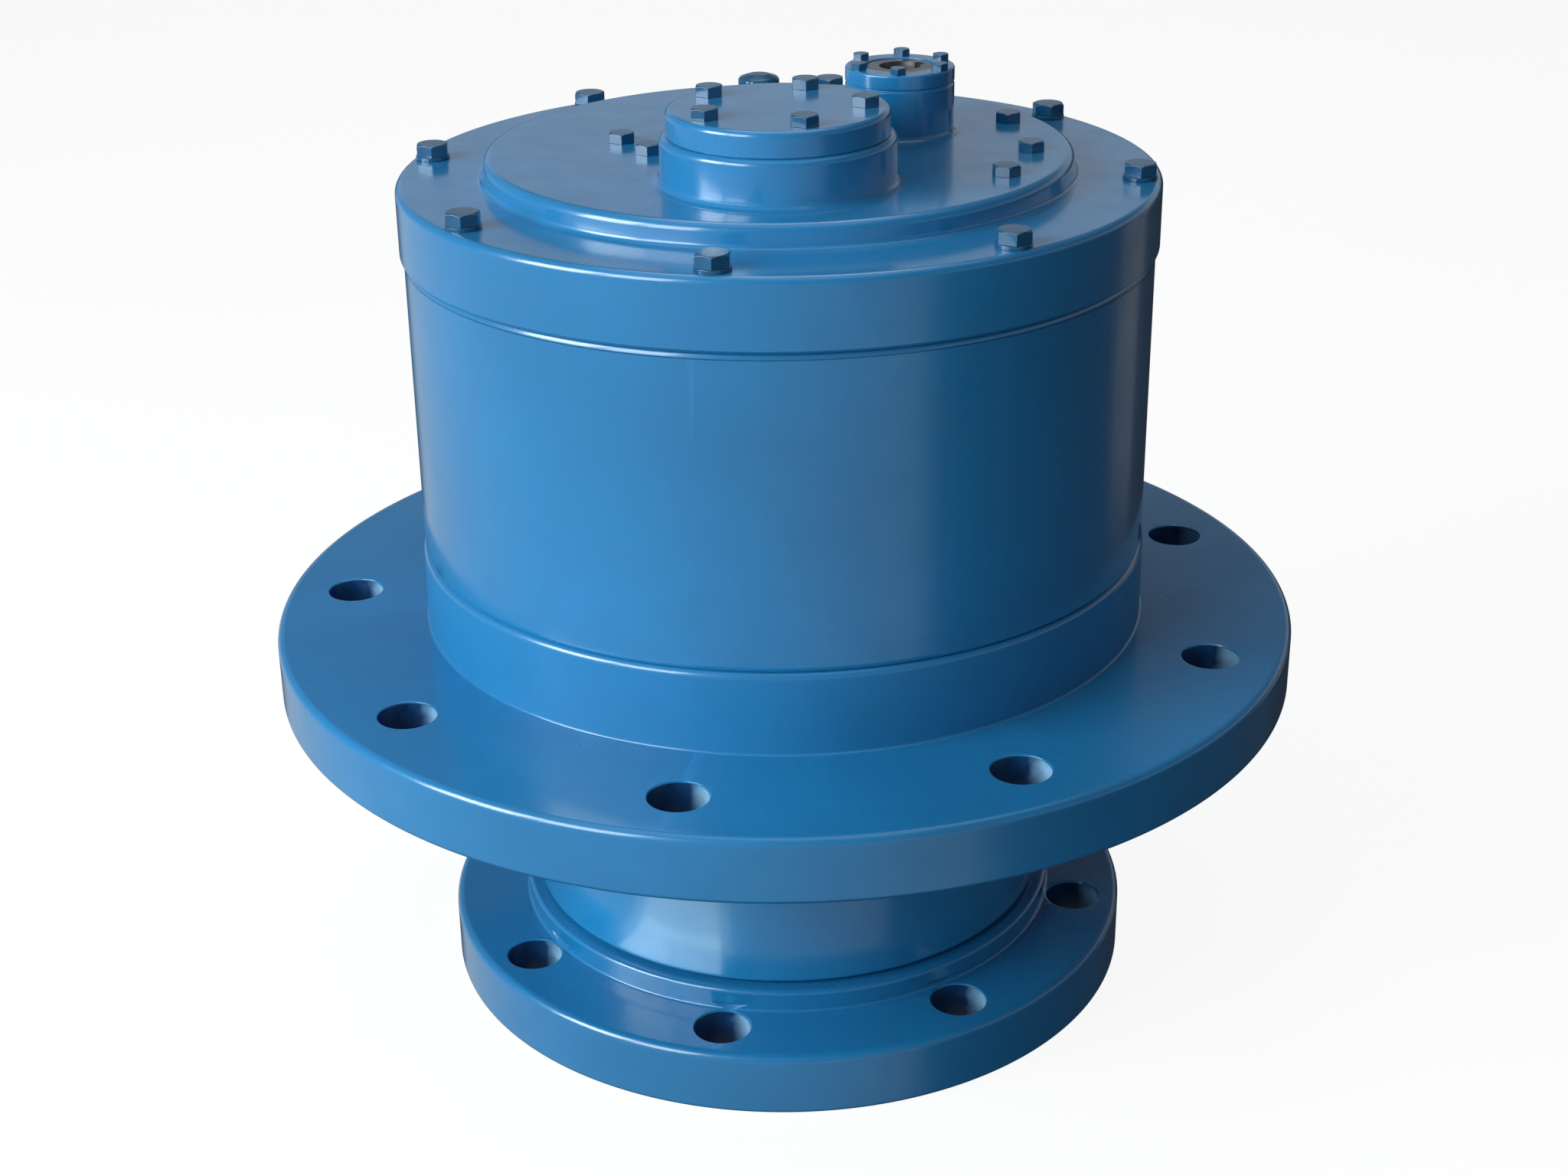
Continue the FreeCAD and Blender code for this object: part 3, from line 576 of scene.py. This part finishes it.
place(smooth(merge("top_cover_casting", [cover, hub, boss])), M_CAST, "casing", "top_cover")

# input sleeve
slv = lathe("sleeve", [(23.5, 449.8), (R_SLEEVE, 449.8), (R_SLEEVE, Z_SLEEVE - 1.4, 0.4),
                       (R_SLEEVE - 0.7, Z_SLEEVE - 0.3, 0.2), (R_SLEEVE - 0.7, Z_SLEEVE),
                       (18.5, Z_SLEEVE), (18.5, 468), (23.5, 468)], 96, PS)
place(smooth(slv), M_CAST, "casing", "input_sleeve")

# hub cap
cap = lathe("hub_cap_plate", [(0, 504), (26, 504), (26, 490), (36.9, 490), (36.9, Z_HUB), (R_CAP, Z_HUB, 0.7),
                              (R_CAP, Z_CAP, 3.0), (0, Z_CAP)], 128, PH)
boolean(cap, merge("c", [spool(4.5, Z_HUB - 6, Z_CAP + 3, p + PH, 24) for p in ring_of(5, 43.0, A_CAPB)]))
place(smooth(cap), M_CAST, "casing", "hub_cap")

# ring on the sleeve
rg = lathe("sleeve_end_ring", [(18.5, 503.7), (18.5, Z_RING, 0.5), (R_SLEEVE, Z_RING, 1.2),
                               (R_SLEEVE, Z_SLEEVE + 0.6, 0.3), (R_SLEEVE - 0.6, Z_SLEEVE),
                               (21, Z_SLEEVE), (21, 503.7)], 96, PS)
boolean(rg, merge("c", [spool(2.75, Z_SLEEVE - 1, Z_RING + 1, p + PS, 20) for p in ring_of(6, 24.5, A_RS)]))
place(smooth(rg), M_CAST, "casing", "sleeve_ring")


# ---------------------------------------------------------------- screws
def hex_head(af, h, z, washer=0.0, washer_r=0.0, soft=0.35):
    """Hexagon head with the turned chamfer on its corners, centred on the axis."""
    r = af / math.sqrt(3.0)
    z0 = z + washer
    o = to_obj(prism_bm([pol(r, 60 * k) for k in range(6)], z0, z0 + h), "hex")
    rc = af / 2.0
    drop = (r * 1.02 - rc * 0.95) * math.tan(math.radians(30))
    cone = to_obj(lathe_bm([Vector(q) for q in ((0, z0 - 2), (r * 1.2, z0 - 2), (r * 1.2, z0 + h - drop - (r * 0.18) * 0.577),
                  (rc * 0.95, z0 + h), (0, z0 + h + 0.0))], 60), "cone")
    boolean(o, cone, "INTERSECT")
    bevel(o, soft, 2, 25)
    parts = [o]
    if washer > 0:
        parts.append(lathe("w", [(0, z), (washer_r, z, 0.2), (washer_r, z0, 0.4), (0, z0)], 40, step=22, support=0.2))
    return parts


def shank(d, z_top, length, pitch):
    """Shank with rolled thread on its lower two thirds."""
    r = d / 2.0
    zb = z_top - length
    pts = [(0, zb), (r - 0.8, zb), (r - 0.1, zb + 0.9)]
    z = zb + 0.9
    while z + pitch < zb + length * 0.62:
        pts += [(r - 0.02, z + pitch * 0.1), (r - 0.55, z + pitch * 0.5), (r - 0.02, z + pitch * 0.9)]
        z += pitch
    pts += [(r - 0.02, z + pitch), (r - 0.02, z_top + 0.5), (0, z_top + 0.5)]
    return to_obj(lathe_bm([Vector(q) for q in pts], 24), "shank")


def screw_set(name, spots, af, h, z, d, length, pitch, washer=0.0, washer_r=0.0, turns=None):
    master = merge("master", hex_head(af, h, z, washer, washer_r) + [shank(d, z, length, pitch)])
    objs = []
    for i, p in enumerate(spots):
        c = bpy.data.objects.new(name + str(i), master.data.copy())
        bpy.context.scene.collection.objects.link(c)
        t = turns[i % len(turns)] if turns else 11.0 * i
        c.matrix_world = Matrix.Translation(Vector((p.x, p.y, 0)) * MM) @ Matrix.Rotation(math.radians(t), 4, "Z")
        objs.append(c)
    bpy.context.view_layer.update()
    me = master.data
    bpy.data.objects.remove(master)
    bpy.data.meshes.remove(me)
    return smooth(merge(name, objs), 30)


place(screw_set("cover_screws", ring_of(8, 188.0, A_CB), 16, 6.4, Z_COVER, 10, 58, 1.5, 2.0, 9.0,
                [40, 45, 37, 47, 42, 39, 46, 41]), M_BOLT, "casing", "cover_bolts")
place(screw_set("gallery_plug_screws", [pol(r, a) for r, a in GAL], 13, 5.3, Z_DISC, 8, 8, 1.25,
                turns=[44, 38, 48, 41, 36]), M_BOLT, "casing", "gallery_plugs")
place(screw_set("cap_screws", [p + PH for p in ring_of(5, 43.0, A_CAPB)], 13, 5.3, Z_CAP, 8, 27, 1.25,
                turns=[42, 47, 38, 44, 40]), M_BOLT, "casing", "hub_cap_bolts")
place(screw_set("end_ring_screws", [p + PS for p in ring_of(6, 24.5, A_RS)], 8, 3.6, Z_RING, 5, 18, 0.8,
                turns=[41, 46, 38, 43, 36, 48]), M_BOLT, "casing", "sleeve_ring_screws")

# breather: hexagon, neck, mushroom cap with a vent gap and knurl notches
pb = pol(R_BR, A_BR)
hx = to_obj(prism_bm([pb + pol(19 / math.sqrt(3.0), 20 + 60 * k) for k in range(6)], Z_COVER, Z_COVER + 5), "hx")
bevel(hx, 0.5, 2, 30)
neck = lathe("nk", [(0, 446), (5.9, 446), (5.9, Z_COVER + 0.5), (8, Z_COVER + 4.5), (8, Z_COVER + 8), (0, Z_COVER + 8)], 40, pb)
mush = lathe("ms", [(0, Z_COVER + 7.5), (10.5, Z_COVER + 7.5), (12, Z_COVER + 8.0, 0.5), (12, Z_COVER + 12.6, 2.4),
                    (6, Z_COVER + 14.6, 3.0), (0, Z_COVER + 15)], 72, pb)
boolean(mush, merge("c", [spool(0.8, Z_COVER + 6, Z_COVER + 16, pb + pol(12.35, 15 * k), 12) for k in range(24)]))
place(smooth(merge("breather", [hx, neck, mush])), M_BOLT, "casing", "breather_plug")

# drain plug, built upright and laid over to point along +Y
dr = [lathe("d1", [(0, 160.6), (7.0, 160.6), (7.9, 161.6), (7.9, 197.0), (11.5, 197.0, 0.4), (11.5, 200.6, 0.6), (0, 200.6)], 48)]
hd = to_obj(prism_bm([pol(9.8, 30 + 60 * k) for k in range(6)], 200.4, 208.1), "hd")
bevel(hd, 0.6, 2, 30)
dr = merge("drain", dr + [hd])
dr.data.transform(Matrix.Translation((0, 0, Z_DR * MM)) @ Matrix.Rotation(math.radians(-90), 4, "X"))
place(smooth(dr), M_BOLT, "casing", "drain_plug")

# ---------------------------------------------------------------- stage, light, camera
def stage_plane():
    bm = bmesh.new()
    bmesh.ops.create_grid(bm, x_segments=2, y_segments=2, size=14.0)
    o = to_obj(bm, "floor")
    m, nt, b = nodes_of("floor")
    tc = nt.nodes.new("ShaderNodeTexCoord").outputs["Object"]
    f = noise_node(nt, tc, 1.2, 2.0, 0.5)
    link(nt, ramp(nt, f, [(0.3, (0.10, 0.10, 0.10)), (0.7, (0.115, 0.115, 0.115))]), b.inputs["Base Color"])
    b.inputs["Roughness"].default_value = 0.85
    b.inputs["Specular IOR Level"].default_value = 0.0
    b.inputs["Emission Color"].default_value = (1.0, 1.0, 1.0, 1)
    b.inputs["Emission Strength"].default_value = FLOOR_GLOW
    o.data.materials.append(m)
    o.visible_diffuse = False
    o.visible_glossy = False
    return o


FLOOR_GLOW = 0.915
stage_plane()


def area(name, loc, look, size, power, color=(1, 1, 1), shape="RECTANGLE"):
    d = bpy.data.lights.new(name, "AREA")
    d.shape, d.size, d.size_y, d.energy, d.color = shape, size[0], size[1], power, color
    o = bpy.data.objects.new(name, d)
    bpy.context.scene.collection.objects.link(o)
    o.location = loc
    o.rotation_euler = (Vector(look) - Vector(loc)).to_track_quat("-Z", "Y").to_euler()
    o.visible_camera = False
    return o


CAM_AZ = math.radians(12.2)
PITCH, ROLL = 0.4179, -0.0126


def around(deg, dist, z):
    """A place deg degrees left of the camera's side, seen from above."""
    a = CAM_AZ - math.radians(deg)
    return (dist * math.sin(a), -dist * math.cos(a), z)


area("window_a", around(66, 2.25, 1.22), (0, 0, 0.3), (1.0, 1.25), 48, (0.90, 0.985, 1.0))
area("window_b", around(40, 2.25, 1.22), (0, 0, 0.3), (0.8, 1.25), 25, (0.90, 0.985, 1.0))
area("overhead", (0.0, 0.0, 3.0), (0, 0, 0), (2.6, 2.6), 12, (1, 1, 1))
area("back", around(180, 1.3, 2.9), (0, 0, 0.2), (1.4, 1.2), 9, (1, 1, 1))
# small card on the floor that only the bearing neck sees
seen_by = bpy.data.collections.new("card_receiver")
seen_by.objects.link(neck_o)
for i, (deg, r, z, sx, sy, e) in enumerate(((35, 0.245, 0.010, 0.150, 0.15, 0.060), (35, 0.245, 0.010, 0.118, 0.13, 0.060),
                                            (31, 0.178, 0.038, 0.084, 0.046, 0.019))):
    card = area("low_card_%d" % i, around(deg, r, z), (0, 0, 1), (sx, sy), e, (0.80, 1.0, 0.95))
    card.rotation_euler = (math.pi, 0.0, math.atan2(card.location.y, card.location.x) + math.pi / 2)
    card.light_linking.receiver_collection = seen_by
    card.light_linking.blocker_collection = seen_by

# room: pale towards the window and the front, darker on the far side
w = bpy.data.worlds.new("studio")
w.use_nodes = True
nt = w.node_tree
bg = nt.nodes["Background"]
sep = nt.nodes.new("ShaderNodeSeparateXYZ")
link(nt, nt.nodes.new("ShaderNodeTexCoord").outputs["Generated"], sep.inputs[0])
ax_, ay_, _ = around(56, 1.0, 0.0)
dot = math_node(nt, "ADD", math_node(nt, "MULTIPLY", sep.outputs[0], ax_), math_node(nt, "MULTIPLY", sep.outputs[1], ay_))
hh = math_node(nt, "ADD", math_node(nt, "MULTIPLY", sep.outputs[0], sep.outputs[0]),
               math_node(nt, "MULTIPLY", sep.outputs[1], sep.outputs[1]))
u = math_node(nt, "DIVIDE", dot, math_node(nt, "SQRT", math_node(nt, "ADD", hh, 0.0004)))
side = maprange(nt, u, -0.26, -0.10, 0.0, 1.0)
low = maprange(nt, sep.outputs[2], -0.15, 0.15, 1.0, 0.0)
steep = maprange(nt, sep.outputs[2], -0.85, -0.55, 0.12, 1.0)
pale = mix_rgb(nt, low, (0.15, 0.17, 0.19), mix_rgb(nt, steep, (0.0, 0.0, 0.0), (0.42, 0.48, 0.52)))
dark = mix_rgb(nt, low, (0.08, 0.085, 0.092), (0.035, 0.042, 0.05))
# pale wall low down behind the object, seen only at a grazing angle
band = math_node(nt, "MULTIPLY", maprange(nt, sep.outputs[2], 0.02, 0.10, 0.0, 1.0),
                 maprange(nt, sep.outputs[2], 0.29, 0.38, 1.0, 0.0))
dark = mix_rgb(nt, band, dark, (0.36, 0.41, 0.47))


def facing(deg, lo, hi):
    """1 where a level direction points within a fan about deg, 0 outside."""
    x, y, _ = around(deg, 1.0, 0.0)
    d = math_node(nt, "ADD", math_node(nt, "MULTIPLY", sep.outputs[0], x), math_node(nt, "MULTIPLY", sep.outputs[1], y))
    d = math_node(nt, "DIVIDE", d, math_node(nt, "SQRT", math_node(nt, "ADD", hh, 0.0004)))
    return math_node(nt, "MULTIPLY", maprange(nt, d, lo, hi, 0.0, 1.0), maprange(nt, sep.outputs[2], 0.0, 0.1, 1.0, 0.0))


# deep shade behind on the right, with a lighter upright strip beside it
dark = mix_rgb(nt, facing(-163, 0.89, 0.93), dark, (0.022, 0.026, 0.031))
dark = mix_rgb(nt, maprange(nt, sep.outputs[2], -0.555, -0.505, 1.0, 0.0), dark, (0.022, 0.026, 0.031))
strip = math_node(nt, "MULTIPLY", facing(-130, 0.983, 0.993), maprange(nt, sep.outputs[2], -0.385, -0.350, 0.0, 1.0))
dark = mix_rgb(nt, strip, dark, (0.190, 0.175, 0.160))
link(nt, mix_rgb(nt, side, dark, pale), bg.inputs["Color"])
bg.inputs["Strength"].default_value = 1.0
bpy.context.scene.world = w
bpy.context.scene.view_settings.view_transform = "Standard"

cam_d = bpy.data.cameras.new("camera")
cam_d.lens, cam_d.sensor_width = 3151.5 / 2048 * 36.0, 36.0
cam_d.clip_end = 60
cam = bpy.data.objects.new("camera", cam_d)
bpy.context.scene.collection.objects.link(cam)
R1 = 0.200
cam.location = (6.2390 * R1 * math.sin(CAM_AZ), -6.2390 * R1 * math.cos(CAM_AZ), Z_COVER * MM + 1.5638 * R1)
rot = Matrix.Rotation(CAM_AZ, 4, "Z") @ Matrix.Rotation(math.pi / 2 - PITCH, 4, "X") @ Matrix.Rotation(ROLL, 4, "Z")
cam.rotation_euler = rot.to_euler()
bpy.context.scene.camera = cam
